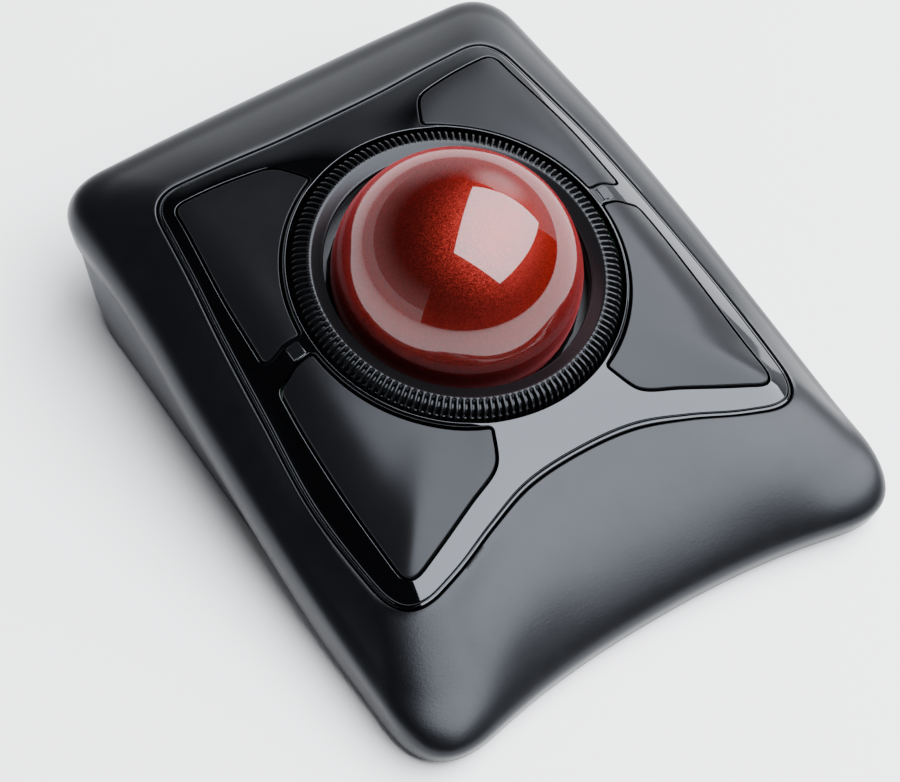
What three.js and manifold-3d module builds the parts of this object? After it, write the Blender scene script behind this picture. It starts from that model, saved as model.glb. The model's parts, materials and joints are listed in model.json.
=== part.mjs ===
// Large-ball desktop trackball with a scroll ring and four buttons.
// Millimetres, +X right, +Y towards the back, +Z up, origin on the desk under the middle.
import * as THREE from 'three';
import * as BufferGeometryUtils from 'three/addons/utils/BufferGeometryUtils.js';
import Module from 'manifold-3d';

const wasm = await Module();
wasm.setup();

// ---- driving dimensions ----
const BALL_RADIUS = 27.5;
const BALL_CENTRE = [0, 7, 37.5];
const RING_TILT = 8;                 // degrees, the ring leans towards the user
const RIM_RADIUS = 37.4;             // round opening of the bezel
const RIM_HEIGHT = 0.88;             // above the ball's centre, along the ring's axis
const BUTTON_ARC_RADIUS = 38.46;     // inner edge of every button
const DECK_THICKNESS = 2.6;
const WALL = 2.2;
const GAP = 0.35;                    // between neighbouring covers
const BUTTON_GAP = 0.5;
const FLOOR_BOTTOM = 1.0;            // the rubber feet fill the height below it
const FLOOR_TOP = 2.6;

// The outline loops are stated for the right half, from the front centre line,
// round the front corner, along the side and round the back corner.
const BEZEL_EDGE = {
  front: [[0, -40.2, 26.4], [14, -41.3, 26.1], [26, -45.2, 25.4], [37, -49.3, 23.6], [53.6, -53.6, 20.2]],
  side: [[53.6, -53.6, 20.2], [55.0, -37, 21.3], [55.3, -19, 23.2], [53.4, 2.4, 28.1], [51.3, 22.3, 32.3],
    [49.0, 37.7, 34.9], [45.9, 60.2, 37.2]],
  back: [[45.9, 60.2, 37.2], [26, 58.1, 39.5], [14, 57.0, 40.2], [0, 56.7, 40.5]],
  frontRadius: 11,
  backRadius: 8,
};
const BUTTON_EDGE = {
  front: [[0, -34.5, 30.4], [18.5, -35, 30.9], [27.5, -39, 28.7], [39, -43.5, 26], [49, -47.4, 24.6]],
  side: [[49, -47.4, 24.6], [49.1, -36.6, 25], [49.2, -22, 27.5], [47.9, 2.4, 32.7], [46.3, 28, 36.5],
    [43.0, 54, 39.2]],
  back: [[43.0, 54, 39.2], [33, 53.1, 40.4], [20, 49.9, 41.9], [0, 49.5, 42.2]],
  frontRadius: 2.5,
  backRadius: 2.5,
};
const CREST = {
  front: [[0, -70.6, 9.8], [30, -72.4, 9.8], [64.5, -78.4, 9.9]],
  side: [[64.5, -78.4, 9.9], [64.2, -57, 11.0], [63.9, -33.7, 14.6], [63.3, -17, 18], [62.5, 0, 21.7],
    [61.6, 17, 24.8], [60.2, 33, 27.8], [59.2, 50, 29.1], [58.2, 76.7, 30.3]],
  back: [[58.2, 76.7, 30.3], [30, 76.7, 31.4], [0, 76.7, 31.6]],
  frontRadius: 18,
  backRadius: 11,
};
const LIP = {
  front: [[0, -72.4, 7.0], [30, -74.2, 7.0], [64.9, -81.1, 7.0]],
  side: [[64.9, -81.1, 7.0], [64.6, -57, 8.0], [64.8, -38, 10.4], [64.6, -17, 14.7], [64.0, 0, 18.2],
    [63.1, 17, 21.3], [61.9, 33, 24.2], [60.9, 50, 25.7], [60.0, 78, 26.8]],
  back: [[60.0, 78, 26.8], [30, 78, 27.8], [0, 78, 28]],
  frontRadius: 18,
  backRadius: 12,
};
const LIP_BOTTOM = {
  front: [[0, -72.1, 3.2], [30, -73.8, 3.2], [64.4, -80.5, 3.2]],
  side: [[64.4, -80.5, 3.2], [64.2, -57, 3.6], [64.4, -38, 5.7], [64.1, -17, 10.2], [63.4, 0, 13.6],
    [62.5, 17, 16.6], [61.3, 33, 19.6], [60.3, 50, 21.2], [59.4, 77.2, 22.2]],
  back: [[59.4, 77.2, 22.2], [30, 77.2, 23], [0, 77.2, 23.2]],
  frontRadius: 18,
  backRadius: 12,
};
const BASE_WAIST = {
  front: [[0, -70.0, 2], [30, -71.3, 2], [61.5, -76.4, 2]],
  side: [[61.5, -76.4, 2], [61.5, -38, 3.0], [60.6, 0, 5.6], [59.6, 33, 8.0], [58.6, 67.5, 8.6]],
  back: [[58.6, 67.5, 8.6], [30, 67.5, 8.8], [0, 67.5, 8.8]],
  frontRadius: 14,
  backRadius: 9,
};
const BASE_BOTTOM = {
  front: [[0, -69.2, FLOOR_BOTTOM], [30, -70.5, FLOOR_BOTTOM], [60.9, -75.4, FLOOR_BOTTOM]],
  side: [[60.9, -75.4, FLOOR_BOTTOM], [60.9, -38, FLOOR_BOTTOM], [60.0, 0, FLOOR_BOTTOM],
    [58.8, 33, FLOOR_BOTTOM], [57.6, 64, FLOOR_BOTTOM]],
  back: [[57.6, 64, FLOOR_BOTTOM], [30, 64, FLOOR_BOTTOM], [0, 64, FLOOR_BOTTOM]],
  frontRadius: 14,
  backRadius: 8,
};
const CUTTER_HEIGHT = 80;            // taller than everything that it cuts
const STEPS = { front: 7, corner: 4, side: 9, back: 5 };
const FRONT_BULGE = 2.4;             // how far the front of the top shell swells above a straight line
const SIDE_BULGE = 0.4;
const CORNER_REACH = 13;             // the swell fades to the corners over about this distance

// Scroll ring and what carries it: [radius, height] in the ring's tilted frame.
const RING_SECTION = [[29.4, 1.2], [29.9, 2.0], [32.6, 2.87], [34.3, 2.4], [35.5, 1.5], [36.5, 0.3],
  [37.0, -1.2], [37.0, -4.0], [35.8, -4.0], [35.4, -0.6], [31.4, 0.2], [31.0, -1.6], [29.4, -1.6]];
const TRACK_SECTION = [[31.9, -5.2], [34.9, -5.2], [34.9, -1.4], [34.2, -0.9], [32.4, -0.9], [31.9, -1.4]];
const SKIRT_INNER = 35.8;
const SKIRT_OUTER = 36.8;
const SKIRT_TOP = -4.3;
const SKIRT_BOTTOM = -10.0;
const SKIRT_SLOTS = 24;
const CUP_INNER = 28.6;
const CUP_OUTER = 30.2;
const CUP_TOP = -5.5;
const FLANGE_RADIUS = 35.2;
const FLANGE_BOTTOM = -7.0;
const SUPPORT_BALL_RADIUS = 1.5;
const SUPPORT_ANGLES = [90, 210, 330];
const SUPPORT_DROP = 38;             // degrees below the ring's plane
const SENSOR_LEAN = 35;              // degrees from straight down, towards the user

// Switches under the buttons: one board a side, tilted with the ring.
const BOARD_X = 43;
const BOARD_Y = 3;
const BOARD_Z = 20.4;
const BOARD_SIZE = [11, 64, 1.6];
const SWITCH_SIZE = [5.8, 12.8, 6.5];
const SWITCH_Y = { front: -23, back: 28 };
const PLUNGER_SIZE = [2.0, 3.0, 1.6];
const PLUNGER_PROUD = 1.1;
const FINGER_RADIUS = 1.8;

// Screws, the posts they run up through and the legs and bosses they hold.
const POST_RADIUS = 4.2;
const HEAD_RADIUS = 2.4;
const SHANK_RADIUS = 1.0;
const BOSS_RADIUS = 3.2;
const HEAD_HEIGHT = 1.6;
const LEG_FOOT = 6.3;
const LEG_RADIUS = 2.6;
const SHELL_POSTS = [[54, -62, 5.9, 14.8], [51.5, 53, 20, 31]];   // x, y, post top, boss top
const LEG_ANGLES = [30, 150, 222, 318];
const LEG_CIRCLE = 31;
const FOOT_PLACES = [[50, -63], [50, 46], [0, -63]];
const FOOT_RADIUS = 6;

const BATTERY_RADIUS = 7.25;
const BATTERY_LENGTH = 50.5;
const BATTERY_Y = [36.9, 52.1];
const BATTERY_Z = 10.5;
const DOOR = { halfWidth: 30, front: 29.5, back: 63.6, top: 2.3 };
const DOOR_RECESS_LENGTH = 50;       // runs out through the back wall, so that the door slides off
const BAY_LENGTH = 31;
const BAY_WALL_SIDE = [1.6, 33, 9];
const BAY_WALL_X = 32;
const BAY_WALL_SIDE_Y = 45.6;
const BAY_WALL_FRONT = [62, 1.6, 8];
const BAY_WALL_FRONT_Y = 28.2;

// The switches on the underside and the posts that carry the switch boards.
const POWER_SWITCH_X = -19.6;
const CONNECT_X = 18;
const CONNECT_RADIUS = 2.3;
const SWITCHES_Y = -42;
const BOARD_POST_X = 46;
const BOARD_POST_Y = [25, -17];

// ---- materials ----
const plastic = (color, roughness) => new THREE.MeshStandardMaterial({ color, roughness, metalness: 0 });
const metal = (color, roughness) => new THREE.MeshStandardMaterial({ color, roughness, metalness: 0.9 });
const graphite = plastic(0x2b2b2e, 0.45);
const pianoBlack = plastic(0x0b0b0d, 0.06);
const satinBlack = plastic(0x18181a, 0.35);
const darkPlastic = plastic(0x151516, 0.6);
const pearlRed = new THREE.MeshStandardMaterial({ color: 0x9c0f14, roughness: 0.12, metalness: 0.35 });
const rubber = plastic(0x101010, 0.9);
const boardGreen = plastic(0x1c4a2c, 0.5);
const whitePlastic = plastic(0xd8d8d4, 0.5);
const clearPlastic = plastic(0xb9c4cc, 0.1);
const steel = metal(0x9a9c9e, 0.3);
const batterySleeve = plastic(0x3a3a3c, 0.4);

const group = new THREE.Group();
const ringFrame = new THREE.Group();
ringFrame.position.set(...BALL_CENTRE);
ringFrame.rotation.x = THREE.MathUtils.degToRad(RING_TILT);
group.add(ringFrame);

// ---- small tools ----
const vector = ([x, y, z]) => new THREE.Vector3(x, y, z);

function signedVolume(positions, index) {
  const [a, b, c] = [new THREE.Vector3(), new THREE.Vector3(), new THREE.Vector3()];
  let sum = 0;
  for (let i = 0; i < index.length; i += 3) {
    a.fromArray(positions, 3 * index[i]);
    b.fromArray(positions, 3 * index[i + 1]);
    c.fromArray(positions, 3 * index[i + 2]);
    sum += a.dot(b.cross(c));
  }
  return sum / 6;
}

// Merges shared corners, drops triangles of no area and turns the faces outwards.
function weld(source) {
  const loose = source.clone();
  loose.deleteAttribute('normal');
  loose.deleteAttribute('uv');
  loose.clearGroups();
  const geometry = BufferGeometryUtils.mergeVertices(loose, 1e-4);
  const from = geometry.index.array;
  const index = [];
  for (let i = 0; i < from.length; i += 3) {
    const [a, b, c] = [from[i], from[i + 1], from[i + 2]];
    if (a !== b && b !== c && c !== a) index.push(a, b, c);
  }
  if (signedVolume(geometry.attributes.position.array, index) < 0) index.reverse();
  geometry.setIndex(index);
  return geometry;
}

function solid(source) {
  const geometry = weld(source);
  const vertProperties = new Float32Array(geometry.attributes.position.array);
  const triVerts = new Uint32Array(geometry.index.array);
  return new wasm.Manifold(new wasm.Mesh({ numProp: 3, vertProperties, triVerts }));
}

function fromSolid(body) {
  const mesh = body.getMesh();
  const geometry = new THREE.BufferGeometry();
  geometry.setAttribute('position', new THREE.BufferAttribute(mesh.vertProperties, 3));
  geometry.setIndex(new THREE.BufferAttribute(mesh.triVerts, 1));
  geometry.computeVertexNormals();
  return geometry;
}

function add(name, shape, material, parent = group) {
  const geometry = shape.isBufferGeometry ? weld(shape) : fromSolid(shape);
  const mesh = new THREE.Mesh(geometry, material);
  mesh.name = name;
  parent.add(mesh);
  return mesh;
}

function box(size, centre) {
  return new THREE.BoxGeometry(...size).translate(...centre);
}

// An upright cylinder from one height to another.
function post(x, y, bottom, top, radius, sides = 12) {
  const geometry = new THREE.CylinderGeometry(radius, radius, top - bottom, sides);
  return geometry.rotateX(Math.PI / 2).translate(x, y, (bottom + top) / 2);
}

// Revolves [radius, height] points about Z; a section off the axis closes on itself.
function revolve(section, sides) {
  const points = section.map(([radius, height]) => new THREE.Vector2(radius, height));
  const closes = section[0][0] > 0;
  if (closes) points.push(points[0].clone());
  return new THREE.LatheGeometry(points, sides).rotateX(Math.PI / 2);
}

function prism(outline, bottom, top) {
  const settings = { depth: top - bottom, bevelEnabled: false };
  return new THREE.ExtrudeGeometry(new THREE.Shape(outline), settings).translate(0, 0, bottom);
}

// Moves a geometry from the ring's tilted frame into the main frame.
function fromRingFrame(geometry) {
  ringFrame.updateMatrixWorld(true);
  return geometry.applyMatrix4(ringFrame.matrixWorld);
}

// ---- outline loops ----
function smooth(points) {
  return new THREE.CatmullRomCurve3(points.map(vector), false, 'centripetal');
}

function mirrorThrough(points) {
  const other = points.filter(([x]) => x > 0).map(([x, y, z]) => [-x, y, z]);
  return points[0][0] === 0 ? [...other.reverse(), ...points] : [...points, ...other.reverse()];
}

function sample(curve, from, to, steps) {
  return Array.from({ length: steps + 1 }, (_, i) => curve.getPointAt(from + (to - from) * i / steps));
}

function loop({ front, side, back, frontRadius, backRadius }) {
  const frontCurve = smooth(mirrorThrough(front));
  const sideCurve = smooth(side);
  const backCurve = smooth(mirrorThrough(back));
  const sideLength = sideCurve.getLength();
  const frontPart = sample(frontCurve, 0.5, 1 - frontRadius / frontCurve.getLength(), STEPS.front);
  const sidePart = sample(sideCurve, frontRadius / sideLength, 1 - backRadius / sideLength, STEPS.side);
  const backPart = sample(backCurve, backRadius / backCurve.getLength(), 0.5, STEPS.back);
  const turn = (a, corner, b) => {
    const curve = new THREE.QuadraticBezierCurve3(a, vector(corner), b);
    return curve.getPoints(STEPS.corner);
  };
  const frontTurn = turn(frontPart.at(-1), side[0], sidePart[0]).slice(1, -1);
  const backTurn = turn(sidePart.at(-1), back[0], backPart[0]).slice(1, -1);
  const right = [...frontPart, ...frontTurn, ...sidePart, ...backTurn, ...backPart];
  const left = right.slice(1, -1).reverse().map((p) => new THREE.Vector3(-p.x, p.y, p.z));
  return [...right, ...left];
}

// Moves a loop sideways, inwards when the distance is positive, and up by rise.
function inset(points, distance, rise = 0) {
  return points.map((p, i) => {
    const before = points[(i + points.length - 1) % points.length];
    const after = points[(i + 1) % points.length];
    const along = new THREE.Vector2(after.x - before.x, after.y - before.y).normalize();
    return new THREE.Vector3(p.x - along.y * distance, p.y + along.x * distance, p.z + rise);
  });
}

// Joins loops of equal length one after another, and the last one back to the first.
function loft(loops) {
  const count = loops[0].length;
  const positions = loops.flat().flatMap((p) => [p.x, p.y, p.z]);
  const index = [];
  for (let k = 0; k < loops.length; k += 1) {
    const next = (k + 1) % loops.length;
    for (let i = 0; i < count; i += 1) {
      const j = (i + 1) % count;
      index.push(k * count + i, next * count + i, next * count + j);
      index.push(k * count + i, next * count + j, k * count + j);
    }
  }
  const geometry = new THREE.BufferGeometry();
  geometry.setAttribute('position', new THREE.Float32BufferAttribute(positions, 3));
  geometry.setIndex(index);
  return geometry;
}

// The circle of the given radius and height in the ring's frame, seen from its axis
// in the same directions as the points of the guide loop.
function ringLoop(radius, height, guide) {
  const tilt = THREE.MathUtils.degToRad(RING_TILT);
  return guide.map((p) => {
    const angle = Math.atan2(p.y - BALL_CENTRE[1], p.x);
    const [x, y] = [radius * Math.cos(angle), radius * Math.sin(angle)];
    return new THREE.Vector3(
      x,
      BALL_CENTRE[1] + y * Math.cos(tilt) - height * Math.sin(tilt),
      BALL_CENTRE[2] + y * Math.sin(tilt) + height * Math.cos(tilt),
    );
  });
}

// ---- the deck: bezel and buttons are cut from one continuous surface ----
const bezelEdge = loop(BEZEL_EDGE);
const deckLoops = (depth) => [
  ringLoop(RIM_RADIUS, RIM_HEIGHT - depth, bezelEdge),
  ringLoop(BUTTON_ARC_RADIUS, 0.3 - depth, bezelEdge),
  inset(loop(BUTTON_EDGE), 0, -depth),
  inset(bezelEdge, GAP, -depth),
];
const deck = weld(loft([...deckLoops(0), ...deckLoops(DECK_THICKNESS).reverse()]));

function deckHeight(x, y) {
  const ray = new THREE.Raycaster(new THREE.Vector3(x, y, 100), new THREE.Vector3(0, 0, -1));
  return ray.intersectObject(new THREE.Mesh(deck))[0].point.z;
}

// Plan outlines of the right-hand buttons: the ring-side arc, then on round the button.
function ringArc(fromPoint, toPoint, steps) {
  const squash = Math.cos(THREE.MathUtils.degToRad(RING_TILT));
  const angleTo = ([x, y]) => Math.atan2((y - BALL_CENTRE[1]) / squash, x);
  const [start, end] = [angleTo(fromPoint), angleTo(toPoint)];
  const radii = [BUTTON_ARC_RADIUS, BUTTON_ARC_RADIUS * squash];
  const arc = new THREE.EllipseCurve(0, BALL_CENTRE[1], ...radii, start, end, end < start);
  return arc.getPoints(steps);
}

function smoothPlan(points, steps) {
  return new THREE.SplineCurve(points.map(([x, y]) => new THREE.Vector2(x, y))).getPoints(steps);
}

const FRONT_OUTLINE = [
  ...ringArc([38.4, 5.8], [15.0, -27.8], 9),
  ...smoothPlan([[18.5, -35], [27.6, -38.9], [39, -43.5], [43.8, -45.4]], 6),
  ...smoothPlan([[46.2, -45.9], [48.2, -44.6], [48.9, -42.2]], 2),
  ...smoothPlan([[49.1, -36], [49.2, -22], [48.7, -5.5], [48.0, 3.2]], 6),
  ...smoothPlan([[47.2, 4.1], [43.0, 5.5]], 1),
];
const BACK_OUTLINE = [
  ...ringArc([38.3, 10.6], [15.1, 42.2], 9),
  ...smoothPlan([[20, 49.9], [27, 52.1], [33, 53.1], [39.6, 53.7]], 5),
  ...smoothPlan([[41.4, 53.2], [42.4, 51.8]], 1),
  ...smoothPlan([[43.4, 48.8], [46.3, 28], [47.5, 12.0]], 5),
  ...smoothPlan([[46.6, 10.8], [42.4, 11.0]], 1),
];
const mirrorPlan = (outline) => outline.map((p) => new THREE.Vector2(-p.x, p.y)).reverse();

// Shrinks a plan outline by the given distance.
function shrink(outline, distance) {
  const clockwise = THREE.ShapeUtils.isClockWise(outline);
  const side = clockwise ? -1 : 1;
  return outline.map((p, i) => {
    const before = outline[(i + outline.length - 1) % outline.length];
    const after = outline[(i + 1) % outline.length];
    const into = p.clone().sub(before).normalize();
    const out = after.clone().sub(p).normalize();
    const bisector = into.clone().add(out).normalize();
    const reach = side * distance / Math.max(0.5, bisector.dot(out));
    return new THREE.Vector2(p.x - bisector.y * reach, p.y + bisector.x * reach);
  });
}

const switchTop = (y) => BOARD_Z + Math.tan(THREE.MathUtils.degToRad(RING_TILT)) * (y - BOARD_Y)
  + BOARD_SIZE[2] / 2 + SWITCH_SIZE[2] + PLUNGER_PROUD;

// A cap with the finger under it that works its switch.
function button(outline, x, place) {
  const y = SWITCH_Y[place];
  const cap = solid(deck).intersect(solid(prism(shrink(outline, BUTTON_GAP), 0, CUTTER_HEIGHT)));
  const finger = solid(post(x, y, switchTop(y) + GAP, deckHeight(x, y) - 1, FINGER_RADIUS));
  return cap.add(finger);
}

const buttonPlans = [
  ['button_front_left', mirrorPlan(FRONT_OUTLINE), -BOARD_X, 'front'],
  ['button_front_right', FRONT_OUTLINE, BOARD_X, 'front'],
  ['button_back_left', mirrorPlan(BACK_OUTLINE), -BOARD_X, 'back'],
  ['button_back_right', BACK_OUTLINE, BOARD_X, 'back'],
];

// The small tile let into the bezel between the two buttons of a side.
const TILE_SIZE = [3.4, 3.6, 1.4];
const TILE_CENTRE = [41.0, 8.2];
const TILE_SLOPE = 17;               // degrees
function tile(side, grow) {
  const [x, y] = [side * TILE_CENTRE[0], TILE_CENTRE[1]];
  const shape = new THREE.BoxGeometry(...TILE_SIZE.map((size) => size + grow));
  shape.rotateY(side * THREE.MathUtils.degToRad(TILE_SLOPE));
  return shape.translate(x, y, deckHeight(x, y) - 0.1);
}

function bezel() {
  let body = solid(deck);
  for (const [, outline] of buttonPlans) body = body.subtract(solid(prism(outline, 0, CUTTER_HEIGHT)));
  for (const side of [-1, 1]) body = body.subtract(solid(tile(side, 2 * GAP)));
  return body;
}

add('bezel', bezel(), pianoBlack);
for (const [name, outline, x, place] of buttonPlans) add(name, button(outline, x, place), satinBlack);
add('bridge_tile_left', tile(-1, 0), satinBlack);
add('bridge_tile_right', tile(1, 0), satinBlack);

// ---- top shell: from the bezel over the crest to the underside of the lip ----
const crest = loop(CREST);
const lip = loop(LIP);
const lipBottom = loop(LIP_BOTTOM);

// The loop half way from the bezel's edge to the crest, raised by the swell.
function swollenLoop(rise) {
  const cornerX = BEZEL_EDGE.side[0][0];
  const frontY = BEZEL_EDGE.front[0][1];
  return bezelEdge.map((p, i) => {
    const fromCorner = p.y < frontY + 2 ? Math.max(0, cornerX - Math.abs(p.x)) : 0;
    const front = FRONT_BULGE * (1 - Math.exp(-((fromCorner / CORNER_REACH) ** 2)));
    const middle = p.clone().lerp(crest[i], 0.5);
    middle.z += SIDE_BULGE + front + rise;
    return middle;
  });
}

function topShell() {
  const outside = [bezelEdge, swollenLoop(0), crest, lip, lipBottom];
  const inside = [inset(lipBottom, WALL), inset(lip, WALL, 0.6), inset(crest, WALL, -1.6), swollenLoop(-WALL),
    inset(bezelEdge, 0, -WALL)];
  let body = solid(loft([...outside, ...inside]));
  for (const [x, y, postTop, bossTop] of SHELL_POSTS) {
    for (const side of [-1, 1]) {
      body = body.add(solid(post(side * x, y, postTop + GAP, bossTop, BOSS_RADIUS)));
      body = body.subtract(solid(post(side * x, y, postTop, bossTop - 2, SHANK_RADIUS + GAP, 8)));
    }
  }
  return body;
}
add('top_shell', topShell(), graphite);

// ---- base shell: undercut wall, floor, posts and battery bay ----
function legPlaces() {
  return LEG_ANGLES.map((degrees) => {
    const angle = THREE.MathUtils.degToRad(degrees);
    return [LEG_CIRCLE * Math.cos(angle), BALL_CENTRE[1] + LEG_CIRCLE * Math.sin(angle)];
  });
}

// x, y, height of the seat under the head, top of the post, tip of the screw
function screwPlaces() {
  const places = legPlaces().map(([x, y]) => [x, y, 4.0, LEG_FOOT - GAP, 12]);
  for (const [x, y, postTop, bossTop] of SHELL_POSTS) {
    const seat = postTop - 2;
    for (const side of [-1, 1]) places.push([side * x, y, seat, postTop, bossTop - 3]);
  }
  return places;
}

function baseWall() {
  const outside = [inset(lipBottom, 0.8, -GAP), loop(BASE_WAIST), loop(BASE_BOTTOM)];
  const inside = outside.map((points) => inset(points, WALL)).reverse();
  return solid(loft([...outside, ...inside]));
}

// Ribs round the battery bay and posts under the switch boards.
function baseFittings() {
  const fittings = [box(BAY_WALL_FRONT, [0, BAY_WALL_FRONT_Y, FLOOR_TOP + 3.4])];
  for (const side of [-1, 1]) {
    fittings.push(box(BAY_WALL_SIDE, [side * BAY_WALL_X, BAY_WALL_SIDE_Y, FLOOR_TOP + 4]));
    for (const y of BOARD_POST_Y) {
      const slope = Math.tan(THREE.MathUtils.degToRad(RING_TILT));
      const top = BOARD_Z - BOARD_SIZE[2] / 2 + (y - BOARD_Y) * slope - 0.7;
      fittings.push(post(side * BOARD_POST_X, y, FLOOR_BOTTOM, top, 2.2, 10));
    }
  }
  for (const [x, y, , top] of screwPlaces()) fittings.push(post(x, y, FLOOR_BOTTOM, top, POST_RADIUS));
  return fittings;
}

// Everything cut from the floor: screw wells, battery bay, switch openings and foot recesses.
function baseCuts() {
  const cuts = [];
  for (const [x, y, seat, top] of screwPlaces()) {
    cuts.push(post(x, y, 0, seat, HEAD_RADIUS + GAP, 10));
    cuts.push(post(x, y, 0, top + 1, SHANK_RADIUS + GAP, 8));
  }
  const doorRecess = [2 * DOOR.halfWidth, DOOR_RECESS_LENGTH, 4];
  cuts.push(box(doorRecess, [0, DOOR.front + DOOR_RECESS_LENGTH / 2, DOOR.top + GAP - 2]));
  const bay = [2 * DOOR.halfWidth - 4, BAY_LENGTH, 4];
  cuts.push(box(bay, [0, DOOR.front + BAY_LENGTH / 2, FLOOR_TOP]));
  cuts.push(box([9, 4.6, 6], [POWER_SWITCH_X + 1.6, SWITCHES_Y, FLOOR_TOP]));
  cuts.push(post(CONNECT_X, SWITCHES_Y, 0, 5, CONNECT_RADIUS + 0.5));
  for (const [x, y] of FOOT_PLACES) {
    for (const side of x ? [-1, 1] : [1]) cuts.push(post(side * x, y, 0, 1.5, FOOT_RADIUS + GAP, 20));
  }
  return cuts;
}

function baseShell() {
  const floorOutline = inset(loop(BASE_BOTTOM), WALL / 2).map((p) => new THREE.Vector2(p.x, p.y));
  let body = baseWall().add(solid(prism(floorOutline, FLOOR_BOTTOM, FLOOR_TOP)));
  for (const fitting of baseFittings()) body = body.add(solid(fitting));
  for (const cut of baseCuts()) body = body.subtract(solid(cut));
  return body;
}
add('base_shell', baseShell(), darkPlastic);

function addFeet() {
  const section = [[0, 0], [FOOT_RADIUS - 0.4, 0], [FOOT_RADIUS, 0.4], [FOOT_RADIUS, 1.2], [0, 1.2]];
  const shape = () => revolve(section, 20);
  const names = ['front_right', 'back_right', 'front_middle'];
  FOOT_PLACES.forEach(([x, y], i) => {
    add(`foot_${names[i]}`, shape().translate(x, y, 0), rubber);
    if (x) add(`foot_${names[i].replace('right', 'left')}`, shape().translate(-x, y, 0), rubber);
  });
}
addFeet();

function addScrews() {
  screwPlaces().forEach(([x, y, seat, , tip], i) => {
    const [headBottom, headTop] = [seat - HEAD_HEIGHT - GAP, seat - GAP];
    const section = [[0, headBottom], [HEAD_RADIUS, headBottom], [HEAD_RADIUS, headTop],
      [SHANK_RADIUS, headTop], [SHANK_RADIUS, tip - 1], [0, tip]];
    add(`screw_${i + 1}`, revolve(section, 10).translate(x, y, 0), steel);
  });
}
addScrews();

// ---- scroll ring, its slotted skirt and its track ----
add('scroll_ring', revolve(RING_SECTION, 54), satinBlack, ringFrame);
add('ring_track', revolve(TRACK_SECTION, 48), darkPlastic, ringFrame);

function slottedSkirt() {
  const section = [[SKIRT_INNER, SKIRT_TOP], [SKIRT_OUTER, SKIRT_TOP], [SKIRT_OUTER, SKIRT_BOTTOM],
    [SKIRT_INNER, SKIRT_BOTTOM]];
  let body = solid(revolve(section, 48));
  for (let i = 0; i < SKIRT_SLOTS; i += 1) {
    const slot = box([4, 3, 3], [SKIRT_INNER, 0, SKIRT_BOTTOM + 1.2]);
    body = body.subtract(solid(slot.rotateZ(2 * Math.PI * i / SKIRT_SLOTS)));
  }
  return body;
}
add('encoder_skirt', slottedSkirt(), darkPlastic, ringFrame);

// ---- ball, its cup and the three support balls ----
function addBall() {
  const ball = add('trackball', new THREE.SphereGeometry(BALL_RADIUS, 32, 20), pearlRed);
  ball.position.set(...BALL_CENTRE);
}
addBall();

function supportDirection(degrees) {
  const [turn, drop] = [degrees, SUPPORT_DROP].map(THREE.MathUtils.degToRad);
  return new THREE.Vector3(Math.cos(turn) * Math.cos(drop), Math.sin(turn) * Math.cos(drop), -Math.sin(drop));
}

function sensorDirection() {
  const lean = THREE.MathUtils.degToRad(SENSOR_LEAN);
  return new THREE.Vector3(0, -Math.sin(lean), -Math.cos(lean));
}

// Turns a geometry made along +Z so that it points along a direction from the ball's centre.
function aim(geometry, direction) {
  const turn = new THREE.Quaternion().setFromUnitVectors(new THREE.Vector3(0, 0, 1), direction);
  return geometry.applyQuaternion(turn).translate(...BALL_CENTRE);
}

function cupSection() {
  const points = [[0, -CUP_OUTER]];
  const arc = (radius, from, to, steps) => {
    for (let i = 0; i <= steps; i += 1) {
      const angle = from + (to - from) * i / steps;
      points.push([radius * Math.cos(angle), radius * Math.sin(angle)]);
    }
  };
  const outerEnd = Math.asin(FLANGE_BOTTOM / CUP_OUTER);
  const innerEnd = Math.asin(CUP_TOP / CUP_INNER);
  arc(CUP_OUTER, -1.4, outerEnd, 6);
  points.push([FLANGE_RADIUS, FLANGE_BOTTOM], [FLANGE_RADIUS, CUP_TOP]);
  arc(CUP_INNER, innerEnd, -1.4, 7);
  points.push([0, -CUP_INNER]);
  return points;
}

function ballSocket() {
  let body = solid(fromRingFrame(revolve(cupSection(), 30)));
  const keepBelow = solid(fromRingFrame(box([120, 120, 80], [0, 0, FLANGE_BOTTOM + 0.6 - 40])));
  for (const [x, y] of legPlaces()) {
    const leg = solid(post(x, y, LEG_FOOT, BALL_CENTRE[2], LEG_RADIUS, 10)).intersect(keepBelow);
    body = body.add(leg).subtract(solid(post(x, y, 0, LEG_FOOT + 7, SHANK_RADIUS + GAP, 8)));
  }
  for (const degrees of SUPPORT_ANGLES) {
    const seat = post(0, 0, BALL_RADIUS + 0.2, 33, SUPPORT_BALL_RADIUS + GAP, 12);
    body = body.subtract(solid(aim(seat, supportDirection(degrees))));
  }
  return body.subtract(solid(aim(post(0, 0, 20, 36, 3.3, 16), sensorDirection())));
}
add('ball_socket', ballSocket(), darkPlastic);

SUPPORT_ANGLES.forEach((degrees, i) => {
  const shape = new THREE.SphereGeometry(SUPPORT_BALL_RADIUS, 10, 7);
  const bearing = add(`support_ball_${i + 1}`, shape, whitePlastic);
  const reach = BALL_RADIUS + SUPPORT_BALL_RADIUS + 0.2;
  bearing.position.copy(supportDirection(degrees)).multiplyScalar(reach).add(vector(BALL_CENTRE));
});

// ---- optics and boards ----
function addSensor() {
  const lens = revolve([[0, 29.2], [2.9, 29.2], [2.9, 31.2], [5, 31.2], [5, 32.2], [0, 32.2]], 16);
  add('sensor_lens', aim(lens, sensorDirection()), clearPlastic);
  add('sensor_chip', aim(box([9, 8, 1.8], [0, 0, 33.6]), sensorDirection()), darkPlastic);
  add('sensor_board', aim(box([18, 15, 1.2], [0, 0, 35.6]), sensorDirection()), boardGreen);
}
addSensor();

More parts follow.
